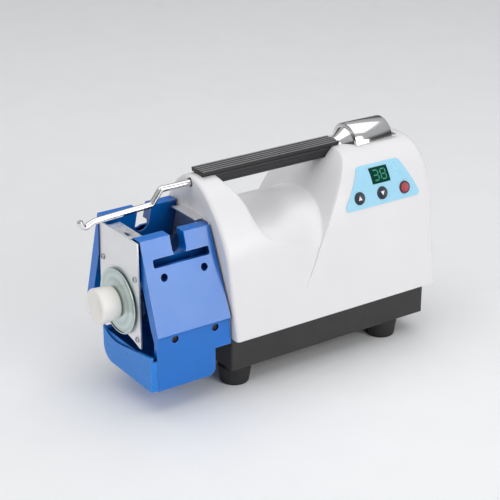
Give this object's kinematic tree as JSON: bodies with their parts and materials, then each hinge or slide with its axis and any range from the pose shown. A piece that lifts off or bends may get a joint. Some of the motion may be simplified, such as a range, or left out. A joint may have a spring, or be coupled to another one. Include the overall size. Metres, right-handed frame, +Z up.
{
  "type": "grain moisture meter",
  "caption": "Bench grain moisture meter: white bell-section housing with carry handle and key panel, motor-driven sample head with blue covers, tray and hand knob.",
  "frame": {"origin": "centre of the footprint box, on the surface the feet stand on", "axes": "+X from the sample head to the control tower along the longest side, +Z up, -Y towards the operator's key panel"},
  "size_m": [0.3923, 0.142, 0.232],
  "materials": {
    "white_shell": "satin moulded shell",
    "charcoal_pan": "fine textured paint",
    "rubber": "matte moulded rubber",
    "blue_plastic": "semi-gloss moulded plastic",
    "navy_plastic": "dark moulded plastic",
    "sheet_metal": "fine brushed sheet",
    "zinc": "bright zinc plate",
    "chrome": "polished",
    "steel": "machined",
    "dark_steel": "blackened",
    "copper": "wound wire",
    "ivory_plastic": "natural nylon",
    "black_plastic": "grained moulded plastic",
    "label_film": "printed film",
    "display_glass": "tinted window",
    "button_black": "satin key",
    "button_red": "satin key",
    "circuit": "solder-masked board"
  },
  "bodies": {
    "root": {"housing_shell": "white_shell", "base_pan": "charcoal_pan", "foot_head_near": "rubber", "foot_head_far": "rubber", "foot_tower_near": "rubber", "foot_tower_far": "rubber", "near_cover": "blue_plastic", "far_cover": "blue_plastic", "front_plate": "sheet_metal", "rear_plate": "sheet_metal", "milling_barrel": "steel", "barrel_cap": "steel", "feed_funnel": "navy_plastic", "front_plate_screw_1": "steel", "front_plate_screw_2": "steel", "front_plate_screw_3": "steel", "front_plate_screw_4": "steel", "near_cover_screw_1": "dark_steel", "near_cover_screw_2": "dark_steel", "far_cover_screw_1": "dark_steel", "far_cover_screw_2": "dark_steel", "front_bearing": "steel", "rear_bearing": "steel", "motor_can": "steel", "motor_front_bell": "steel", "motor_rear_bell": "steel", "motor_stator": "copper", "motor_cradle": "charcoal_pan", "tray_rail_near": "steel", "tray_rail_far": "steel", "handle_grip": "black_plastic", "handle_core": "black_plastic", "arm_bush": "black_plastic", "chrome_cover": "chrome", "chrome_neck": "chrome", "control_label": "label_film", "button_up_switch": "black_plastic", "button_down_switch": "black_plastic", "button_start_switch": "black_plastic", "display_window": "display_glass", "display_module": "black_plastic", "control_board": "circuit", "power_board": "circuit", "transformer": "copper", "power_inlet": "black_plastic", "power_switch_frame": "black_plastic"},
    "spindle": {"spindle_shaft": "steel", "abrasive_roller": "dark_steel", "dished_disc": "zinc", "hand_knob": "ivory_plastic", "coupling": "steel", "motor_rotor": "dark_steel", "motor_fan": "black_plastic"},
    "arm": {"swing_arm": "chrome", "arm_collar": "steel"},
    "tray": {"sample_tray": "blue_plastic"},
    "up_key": {"button_up": "button_black"},
    "down_key": {"button_down": "button_black"},
    "start_key": {"button_start": "button_red"},
    "rocker": {"power_rocker": "black_plastic"}
  },
  "joints": [
    {"name": "spindle_turn", "type": "hinge", "parent": "root", "child": "spindle", "pos_m": [-0.1209, 0, 0.101], "axis": [1, 0, 0], "continuous": true},
    {"name": "arm_swing", "type": "hinge", "parent": "root", "child": "arm", "pos_m": [-0.0609, 0, 0.2075], "axis": [1, 0, 0], "range_deg": [-100, 100]},
    {"name": "tray_slide", "type": "slide", "parent": "root", "child": "tray", "axis": [-1, 0, 0], "range_m": [0, 0.06]},
    {"name": "up_press", "type": "slide", "parent": "root", "child": "up_key", "axis": [0, 0.9542, -0.299], "range_m": [0, 0.001], "stiffness_N_per_m": 400},
    {"name": "down_press", "type": "slide", "parent": "root", "child": "down_key", "axis": [0, 0.9542, -0.299], "range_m": [0, 0.001], "stiffness_N_per_m": 400},
    {"name": "start_press", "type": "slide", "parent": "root", "child": "start_key", "axis": [0, 0.9542, -0.299], "range_m": [0, 0.001], "stiffness_N_per_m": 400},
    {"name": "rocker_tip", "type": "hinge", "parent": "root", "child": "rocker", "pos_m": [0.1899, 0.022, 0.081], "axis": [0, 1, 0], "range_deg": [-14, 0]}
  ]
}
